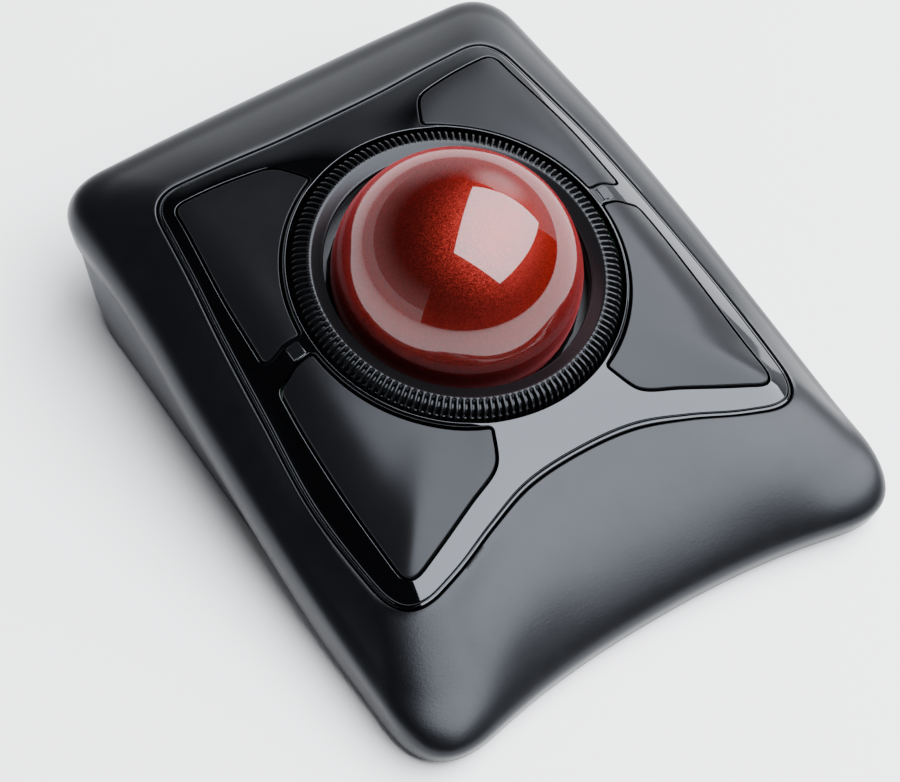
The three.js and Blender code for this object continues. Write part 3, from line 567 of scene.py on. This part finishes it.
def pearl_red():
    """Deep red with fine metal flakes under a clear, polished coat."""
    look, tree, shader = blank_look("pearl red")
    where = tree.nodes.new("ShaderNodeTexCoord").outputs["Object"]
    flakes = add_node(tree, "ShaderNodeTexVoronoi", {"Vector": where, "Scale": 8000})
    tone = add_node(tree, "ShaderNodeSeparateColor", {"Color": flakes.outputs["Color"]}).outputs["Red"]
    bright = spread(tree, tone, 0.0, 1.0)
    colour = mix_colours(tree, bright, (0.046, 0.0032, 0.0024, 1), (0.156, 0.0120, 0.0090, 1))
    tree.links.new(colour, shader.inputs["Base Color"])
    lean = add_node(tree, "ShaderNodeVectorMath", {0: flakes.outputs["Color"], 1: (0.5, 0.5, 0.5)},
                    operation="SUBTRACT")
    small = add_node(tree, "ShaderNodeVectorMath", {0: lean.outputs[0], "Scale": 0.22}, operation="SCALE")
    straight = tree.nodes.new("ShaderNodeNewGeometry").outputs["Normal"]
    tilted = add_node(tree, "ShaderNodeVectorMath", {0: small.outputs[0], 1: straight}, operation="ADD")
    tree.links.new(tilted.outputs[0], shader.inputs["Normal"])
    shader.inputs["Metallic"].default_value = 1.0
    shader.inputs["Roughness"].default_value = 0.45
    shader.inputs["Specular Tint"].default_value = (0.80, 0.05, 0.04, 1)
    shader.inputs["Coat Weight"].default_value = 0.42
    shader.inputs["Coat IOR"].default_value = 2.0
    shader.inputs["Coat Roughness"].default_value = 0.015
    shader.inputs["Sheen Weight"].default_value = 0.20
    shader.inputs["Sheen Roughness"].default_value = 0.35
    shader.inputs["Sheen Tint"].default_value = (1.0, 0.14, 0.16, 1)
    return look


def circuit_board():
    """Green solder mask over a faint pattern of copper tracks."""
    look, tree, shader = blank_look("circuit board")
    where = tree.nodes.new("ShaderNodeTexCoord").outputs["Object"]
    bricks = add_node(tree, "ShaderNodeTexBrick", {"Vector": where, "Scale": 260, "Mortar Size": 0.03})
    colour = mix_colours(tree, bricks.outputs["Fac"], (0.006, 0.06, 0.02, 1), (0.03, 0.16, 0.05, 1))
    tree.links.new(colour, shader.inputs["Base Color"])
    shader.inputs["Roughness"].default_value = 0.35
    return look


def clear_lens():
    """Clear plastic, faintly blue, with uneven gloss."""
    look, tree, shader = blank_look("clear lens")
    where = tree.nodes.new("ShaderNodeTexCoord").outputs["Object"]
    tree.links.new(spread(tree, noise(tree, where, 300), 0.02, 0.06), shader.inputs["Roughness"])
    tint = mix_colours(tree, noise(tree, where, 90), (0.85, 0.92, 1, 1), (0.95, 0.98, 1, 1))
    tree.links.new(tint, shader.inputs["Base Color"])
    shader.inputs["Transmission Weight"].default_value = 0.9
    return look


def battery_sleeve():
    """A printed cell: dark for most of its length, with a lighter band near the end."""
    look, tree, shader = blank_look("battery sleeve")
    where = tree.nodes.new("ShaderNodeTexCoord").outputs["Object"]
    along = add_node(tree, "ShaderNodeSeparateXYZ", {"Vector": where}).outputs["X"]
    step = add_node(tree, "ShaderNodeMath", {0: along, 1: 0.012}, operation="GREATER_THAN").outputs[0]
    colour = mix_colours(tree, step, (0.02, 0.02, 0.022, 1), (0.45, 0.28, 0.10, 1))
    tree.links.new(colour, shader.inputs["Base Color"])
    tree.links.new(spread(tree, noise(tree, where, 400), 0.28, 0.38), shader.inputs["Roughness"])
    shader.inputs["Metallic"].default_value = 0.5
    return look


LOOKS = {
    "shell": moulded("graphite shell", (0.0012, 0.0012, 0.0016), 0.34, shine=0.28),
    "bezel": moulded("gloss black", (0.0006, 0.0006, 0.0008), 0.05, grain=300, depth=0.000001),
    "button": moulded("satin black", (0.0036, 0.0036, 0.0042), 0.29, shine=0.18, grain=2400, depth=0.000004),
    "ring": moulded("ring black", (0.0040, 0.0040, 0.0046), 0.24, shine=0.22, grain=2400, depth=0.000004),
    "ball": pearl_red(),
    "base": moulded("base black", (0.010, 0.010, 0.012), 0.50, depth=0.00004),
    "inner_plastic": moulded("inner black", (0.02, 0.02, 0.02), 0.55),
    "white_plastic": moulded("white plastic", (0.7, 0.7, 0.68), 0.45),
    "lens": clear_lens(),
    "board": circuit_board(),
    "steel": moulded("steel", (0.5, 0.5, 0.5), 0.3, metallic=1.0),
    "battery": battery_sleeve(),
    "rubber": moulded("rubber", (0.015, 0.015, 0.015), 0.85, grain=900, depth=0.00008),
}


# ---- covers ----
def angle_in_ring(point):
    return math.atan2((point[1] - BALL_CENTRE.y) / math.cos(RING_TILT), point[0])


def ring_arc(start, end, steps):
    """Plan points of the button edge's circle, from the direction of one point to that of another."""
    angle = np.linspace(angle_in_ring(start), angle_in_ring(end), steps + 1)
    return ring_point(BUTTON_ARC_RADIUS, angle, 0.0 * angle)[:, :2]


PLAN_STEP = 0.6                         # spacing of the points along a button's outline


def even_line(points):
    line = smooth_curve([(x, y, 0) for x, y in points])[:, :2]
    length = arc_lengths(line)[-1]
    return resample(line, 0, length, max(2, round(length / PLAN_STEP)))


def rounded_path(parts, radii):
    """Joins plan curves end to end, with the end of each rounded off into the next by its radius."""
    lines = []
    for k, part in enumerate(parts):
        length = arc_lengths(part)[-1]
        steps = max(2, round((length - radii[k - 1] - radii[k]) / PLAN_STEP))
        lines.append(resample(part, radii[k - 1], length - radii[k], steps))
    out = []
    for k, line in enumerate(lines):
        after = lines[(k + 1) % len(lines)]
        out.append(line)
        out.append(bezier(line[-1], parts[k][-1], after[0], 6)[1:-1])
    return np.vstack(out)


def front_button_plan():
    ring_side = ring_arc((38.5, 5.8), (15.0, -27.8), 60)
    bridge_side = even_line([(47.9, 3.9), (45.2, 4.6), (43.0, 5.5), (38.5, 5.8)])
    outer_side = even_line([(49.1, -47.3), (49.1, -36), (49.2, -22), (48.7, -5.5), (47.9, 3.9)])
    front_side = even_line([(15.0, -27.8), (18.2, -34.4), (20.3, -36.1), (27.6, -38.9), (39, -43.5),
                            (49.1, -47.3)])
    return rounded_path([ring_side, front_side, outer_side, bridge_side], (1.2, 5.2, 1.6, 1.2))


def back_button_plan():
    ring_side = ring_arc((38.3, 10.4), (14.9, 42.5), 60)
    back_side = even_line([(14.9, 42.5), (18.6, 48.6), (20.6, 50.3), (27, 52.0), (33, 53.0), (42.9, 54.0)])
    outer_side = even_line([(42.9, 54.0), (43.4, 48.8), (46.3, 28), (47.5, 10.6)])
    bridge_side = even_line([(47.5, 10.6), (45.0, 10.4), (42.4, 10.9), (38.3, 10.4)])
    return rounded_path([ring_side, back_side, outer_side, bridge_side], (1.2, 2.6, 1.6, 1.2))


def counter_clockwise(plan):
    x, y = plan[:, 0], plan[:, 1]
    area = np.sum(x * np.roll(y, -1) - np.roll(x, -1) * y)
    return plan if area > 0 else plan[::-1]


def both_sides(end, plan):
    """The right-hand outline and its mirror image, each named after its place."""
    return {f"{end}_right": counter_clockwise(plan), f"{end}_left": counter_clockwise(plan * (-1, 1))}


BUTTON_PLANS = both_sides("front", front_button_plan()) | both_sides("back", back_button_plan())


def add_buttons():
    for place, plan in BUTTON_PLANS.items():
        plate(f"cap_{place}", inset(plan, BUTTON_GAP / 2), [], deck_height, CAP_THICKNESS,
              fillet(CAP_FILLET), material=LOOKS["button"], body=f"{place}_button",
              slot="button", replaced=[f"button_{place}"])


def add_bezel():
    rim_angles = np.linspace(0, 2 * math.pi, 360, endpoint=False)
    rim = ring_point(RIM_RADIUS, rim_angles, rim_height(rim_angles))[:, :2]
    edge = inset(loop(BEZEL_EDGE, MEDIUM), GAP)[:, :2]
    holes = [rim] + [inset(plan, -BUTTON_GAP / 2) for plan in BUTTON_PLANS.values()]
    plate("bezel_frame", edge, holes, bezel_height, DECK_THICKNESS, STRIP_EDGE, fillet(HOLE_FILLET, 2),
          material=LOOKS["bezel"], body="case", slot="bezel", replaced=["bezel"])


FRONT_BULGE = 2.2                       # how far the shell swells above a straight line, edge to crest
SIDE_BULGE = 0.4
CORNER_REACH = 13                       # the swell fades to the corners over about this distance
BEZEL_CORNER_X = 53                     # where the bezel's front corners lie
BEZEL_FRONT_Y = -38                     # all of its front edge is further forward than this
LIP_SETBACK = 0.15                      # keeps the curve that passes through the lip inside its loop


def bulge(edge):
    """The swell at each point of the bezel's edge: most in the middle of the front, fading to the corners."""
    from_corner = np.clip(BEZEL_CORNER_X - np.abs(edge[:, 0]), 0, None) * (edge[:, 1] < BEZEL_FRONT_Y)
    return SIDE_BULGE + FRONT_BULGE * (1 - np.exp(-(from_corner / CORNER_REACH) ** 2))


def lengthwise(stations, samples):
    """Loops along smooth curves that pass through a point of each station loop."""
    columns = [smooth_curve([station[i] for station in stations], samples) for i in range(len(stations[0]))]
    return list(np.stack(columns, axis=1))


def shell_rows():
    edge, crest = loop(BEZEL_EDGE, COARSE), loop(CREST, COARSE)
    lip, bottom = inset(loop(LIP, COARSE), LIP_SETBACK), loop(LIP_BOTTOM, COARSE)
    rise = np.array([0, 0, 1]) * bulge(edge)[:, None]
    thirds = [edge + (crest - edge) * share + rise for share in (0.34, 0.68)]
    outside = lengthwise([edge, *thirds, crest, lip, bottom], 7)
    rounded = [edge + (0, 0, -GAP), inset(edge, -0.1, -0.1), inset(edge, -GAP)]
    underside = [inset(bottom, 0.3, -0.15), inset(bottom, WALL - 0.3, -0.1)]
    inner = [inset(bottom, WALL, 0.3), inset(lip, WALL, 0.6), inset(crest, WALL, -1.6), inset(edge, 0, -WALL)]
    return rounded + outside[1:] + underside + inner


def add_shell():
    lofted("shell_cover", shell_rows(), material=LOOKS["shell"], body="case", slot="shell",
           replaced=["top_shell"])


def wall_rows():
    """A thin smooth skin over the undercut wall of the base, from under the lip down to its waist."""
    top = inset(loop(LIP_BOTTOM, COARSE), SKIN_SETBACK, -GAP)
    waist = loop(BASE_WAIST, COARSE)
    return lengthwise([top, (top + waist) / 2, waist], 5) + [inset(waist, SKIN), inset(top, SKIN)]


def add_base_wall():
    lofted("base_wall", wall_rows(), material=LOOKS["base"], body="case", slot="base")


# ---- scroll ring and ball ----
RIB_COUNT = 144
RIB_STEPS = 8                           # points round the ring for each rib
RIB_DEPTH = 1.5


def ring_profile():
    """Radius, height and how deep the ribs cut there, going round the section from the inner edge."""
    smooth_part = [
        (29.35, 0.6, 0), (29.35, 1.3, 0), (29.42, 1.55, 0), (29.6, 1.66, 0), (29.8, 1.7, 0), (29.95, 1.78, 0),
        (31.65, 2.5, 0), (31.95, 2.68, 0), (32.25, 2.81, 0), (32.6, 2.86, 0),
    ]
    ribbed = [
        (32.9, 2.82, 0.2), (33.3, 2.74, 1), (34.3, 2.45, 1), (35.2, 2.05, 1), (35.9, 1.45, 1),
        (36.3, 0.75, 1), (36.6, 0.0, 1), (36.85, -1.2, 1), (37.0, -2.4, 0.6), (37.0, -3.9, 0),
    ]
    under = [
        (36.8, -4.0, 0), (35.9, -4.0, 0), (35.8, -3.9, 0), (35.5, -0.7, 0), (35.3, -0.6, 0), (31.5, 0.1, 0),
        (31.4, 0.0, 0), (31.1, -1.5, 0), (31.0, -1.6, 0), (29.5, -1.6, 0), (29.4, -1.5, 0),
    ]
    return smooth_part + ribbed + under


def add_ring():
    """The section swept round, with grooves between the ribs: down into its top, inwards on its outside."""
    turn = np.linspace(0, 2 * math.pi, RIB_COUNT * RIB_STEPS, endpoint=False)
    phase = np.arange(len(turn)) % RIB_STEPS / RIB_STEPS
    groove = smoothstep(0.08, 0.40, np.minimum(phase, 1 - phase))
    rows = []
    for radius, height, ribbed in ring_profile():
        cut = groove * RIB_DEPTH * ribbed
        inwards = np.clip((radius - 33) / 4, 0, 1)
        rows.append(ring_point(radius - cut * inwards, turn, height - cut * (1 - 0.6 * inwards)))
    lofted("ring_turned", rows, math.radians(50), material=LOOKS["ring"], body="ring", slot="ring",
           replaced=["scroll_ring"])


def add_ball():
    sphere = bmesh.new()
    bmesh.ops.create_icosphere(sphere, subdivisions=6, radius=BALL_RADIUS)
    sphere.transform(Matrix.Translation(BALL_CENTRE))
    block_piece("ball_surface", sphere, material=LOOKS["ball"], body="ball", slot="ball",
                replaced=["trackball"])


TILE_SIZE = (3.4, 3.6, 1.4)
TILE_BEVEL = 0.3
TILE_LOOK = moulded("tile black", (0.001, 0.001, 0.0012), 0.22, shine=0.6, grain=2400, depth=0.000002)
TILE_SINK = 0.42                        # from the bezel's surface down to the middle of the tile


def add_tiles():
    """The tile in each bridge: a small bevelled block that lies along the bezel, just proud of it."""
    for place in ("right", "left"):
        low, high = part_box(f"bridge_tile_{place}")
        middle = (low + high) / 2 / MM
        spot = np.array([[middle.x, middle.y]])
        middle.z = float(bezel_height(spot)[0]) - TILE_SINK
        lean = Vector((0, 0, 1)).rotation_difference(Vector(surface_normals(bezel_height, spot)[0]))
        block = bmesh.new()
        bmesh.ops.create_cube(block, size=1.0)
        bmesh.ops.scale(block, vec=TILE_SIZE, verts=block.verts)
        bmesh.ops.bevel(block, geom=block.edges, offset=TILE_BEVEL, segments=3, affect="EDGES")
        block.transform(Matrix.Translation(middle) @ lean.to_matrix().to_4x4())
        piece = block_piece(f"tile_{place}", block, material=TILE_LOOK, body="case", slot="button",
                            replaced=[f"bridge_tile_{place}"])
        fix_normals(piece, math.radians(50))


# ---- posts under the covers ----
POST_SIDES = 24


def add_post(name, x, y, bottom, top, radius, **look):
    """A round post between two heights."""
    turn = np.linspace(0, 2 * math.pi, POST_SIDES, endpoint=False)
    circle = np.stack([x + radius * np.cos(turn), y + radius * np.sin(turn)], axis=1)
    points = np.vstack([np.column_stack([circle, np.full(POST_SIDES, z)]) for z in (bottom, top)])
    ends = [tuple(range(POST_SIDES))[::-1], tuple(range(POST_SIDES, 2 * POST_SIDES))]
    fix_normals(new_piece(name, points, band(0, POST_SIDES, POST_SIDES) + ends, **look))


def add_fingers():
    """The finger under each cap, which works its switch."""
    for place in BUTTON_PLANS:
        low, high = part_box(f"switch_plunger_{place}")
        x, y = (low.x + high.x) / 2 / MM, (low.y + high.y) / 2 / MM
        top = float(deck_height(np.array([x, y]))) - 0.5 * DECK_THICKNESS
        add_post(f"finger_{place}", x, y, high.z / MM + GAP, top, FINGER_RADIUS,
                 material=LOOKS["button"], body=f"{place}_button", slot="button")


def add_bosses():
    """The bosses under the top shell, which its screws hold."""
    for k, (x, y, bottom, top) in enumerate(SHELL_BOSSES):
        for side, place in ((1, "right"), (-1, "left")):
            add_post(f"boss_{k + 1}_{place}", side * x, y, bottom, top, BOSS_RADIUS,
                     material=LOOKS["shell"], body="case", slot="shell")


# ---- the CAD nodes that stay in view ----
SLOT_OF_NODE = {part["node"]: part["material_slot"] for part in frame["record"]["subparts"]}


def dress_cad_nodes():
    for name, piece in frame["nodes"].items():
        piece.data.materials.clear()
        piece.data.materials.append(LOOKS[SLOT_OF_NODE[name]])


# ---- floor, camera, light ----
def add_floor():
    look, tree, shader = blank_look("floor")
    where = tree.nodes.new("ShaderNodeTexCoord").outputs["Object"]
    colour = mix_colours(tree, noise(tree, where, 2), (0.90, 0.90, 0.90, 1), (0.92, 0.92, 0.92, 1))
    tree.links.new(colour, shader.inputs["Base Color"])
    shader.inputs["Roughness"].default_value = 0.6
    bpy.ops.mesh.primitive_plane_add(size=24, location=(0, 0, 0))
    floor = bpy.context.object
    floor.name = "floor"
    floor.data.materials.append(look)


BACKDROP_RADIUS = 3.0                   # metres, as are all the sizes from here on
BACKDROP_HEIGHT = 2.2
GLOW_CENTRE = (2.63, 1.44, 1.60)        # middle of its bright spot, high up at the right


def smooth_range(tree, value, start, end, low=0.0, high=1.0):
    """A value that eases from low to high as another goes from start to end."""
    inputs = {"Value": value, "From Min": start, "From Max": end, "To Min": low, "To Max": high}
    return add_node(tree, "ShaderNodeMapRange", inputs, interpolation_type="SMOOTHSTEP").outputs["Result"]


def backdrop_look():
    """Light that fades upwards, is dimmer high up on the left, and has a soft bright spot."""
    look, tree, shader = blank_look("backdrop")
    where = tree.nodes.new("ShaderNodeTexCoord").outputs["Object"]
    place = add_node(tree, "ShaderNodeSeparateXYZ", {"Vector": where})
    fade = smooth_range(tree, place.outputs["Z"], 0.45, BACKDROP_HEIGHT, 1.3, 0.0)
    dim_left = spread(tree, smooth_range(tree, place.outputs["X"], -0.5, 1.0), 0.35, 1.0)
    above = add_node(tree, "ShaderNodeMath", {0: place.outputs["Z"], 1: 0.6}, operation="GREATER_THAN")
    keep = add_node(tree, "ShaderNodeMix", {"Factor": above.outputs[0], 2: 1.0, 3: dim_left},
                    data_type="FLOAT")
    level = add_node(tree, "ShaderNodeMath", {0: fade, 1: keep.outputs[0]}, operation="MULTIPLY")
    from_glow = add_node(tree, "ShaderNodeVectorMath", {0: where, 1: GLOW_CENTRE}, operation="DISTANCE")
    glow = smooth_range(tree, from_glow.outputs["Value"], 0.3, 1.3, 3.8, 0.0)
    total = add_node(tree, "ShaderNodeMath", {0: level.outputs[0], 1: glow}, operation="ADD")
    shader.inputs["Base Color"].default_value = (0, 0, 0, 1)
    shader.inputs["Emission Color"].default_value = (0.94, 0.96, 1.0, 1)
    tree.links.new(total.outputs[0], shader.inputs["Emission Strength"])
    return look


def add_backdrop():
    """A glowing wall round the left, back and right."""
    turn = np.radians(np.linspace(-10, 205, 44))
    low = np.stack([BACKDROP_RADIUS * np.cos(turn), BACKDROP_RADIUS * np.sin(turn), 0 * turn], axis=1)
    points = np.vstack([low, low + (0, 0, BACKDROP_HEIGHT)])
    count = len(turn)
    faces = [(i + 1, i, count + i, count + i + 1) for i in range(count - 1)]
    mesh = bpy.data.meshes.new("backdrop")
    mesh.from_pydata(points.tolist(), [], faces)
    mesh.materials.append(backdrop_look())
    wall = bpy.data.objects.new("backdrop", mesh)
    bpy.context.scene.collection.objects.link(wall)


def add_camera():
    """Above the front left corner, with a long lens."""
    data = bpy.data.cameras.new("camera")
    data.lens = 127.29
    data.sensor_width = 36
    camera = bpy.data.objects.new("camera", data)
    right, up, back = (0.8155, -0.5742, 0.0725), (0.4311, 0.6864, 0.5857), (-0.3861, -0.4464, 0.8073)
    turn = Matrix((right, up, back)).transposed().to_4x4()
    camera.matrix_world = Matrix.Translation((-0.27860, -0.31768, 0.57946)) @ turn
    bpy.context.scene.collection.objects.link(camera)
    bpy.context.scene.camera = camera


def area_light(name, direction, along, distance, width, height, power):
    """A flat softbox that faces the ball from a direction, with its width running along another."""
    away = Vector(direction).normalized()
    side = Vector(along)
    side = (side - away * side.dot(away)).normalized()
    data = bpy.data.lights.new(name, "AREA")
    data.shape = "RECTANGLE"
    data.size, data.size_y = width, height
    data.energy = power
    data.color = (0.94, 0.96, 1.0)
    light = bpy.data.objects.new(name, data)
    turn = Matrix((side, away.cross(side), away)).transposed().to_4x4()
    light.matrix_world = Matrix.Translation(BALL_CENTRE * MM + away * distance) @ turn
    bpy.context.scene.collection.objects.link(light)


def add_light():
    area_light("key softbox", direction=(0.46, -0.21, 0.86), along=(0.725, 0.648, -0.2285), distance=2.0,
               width=3.16, height=2.32, power=320)
    world = bpy.data.worlds.new("studio")
    bpy.context.scene.world = world
    world.use_nodes = True
    background = world.node_tree.nodes["Background"]
    background.inputs["Color"].default_value = (1, 1, 1, 1)
    background.inputs["Strength"].default_value = 0.03


dress_cad_nodes()
add_shell()
add_bezel()
add_buttons()
add_base_wall()
add_ring()
add_ball()
add_tiles()
add_fingers()
add_bosses()
add_floor()
add_backdrop()
add_camera()
add_light()
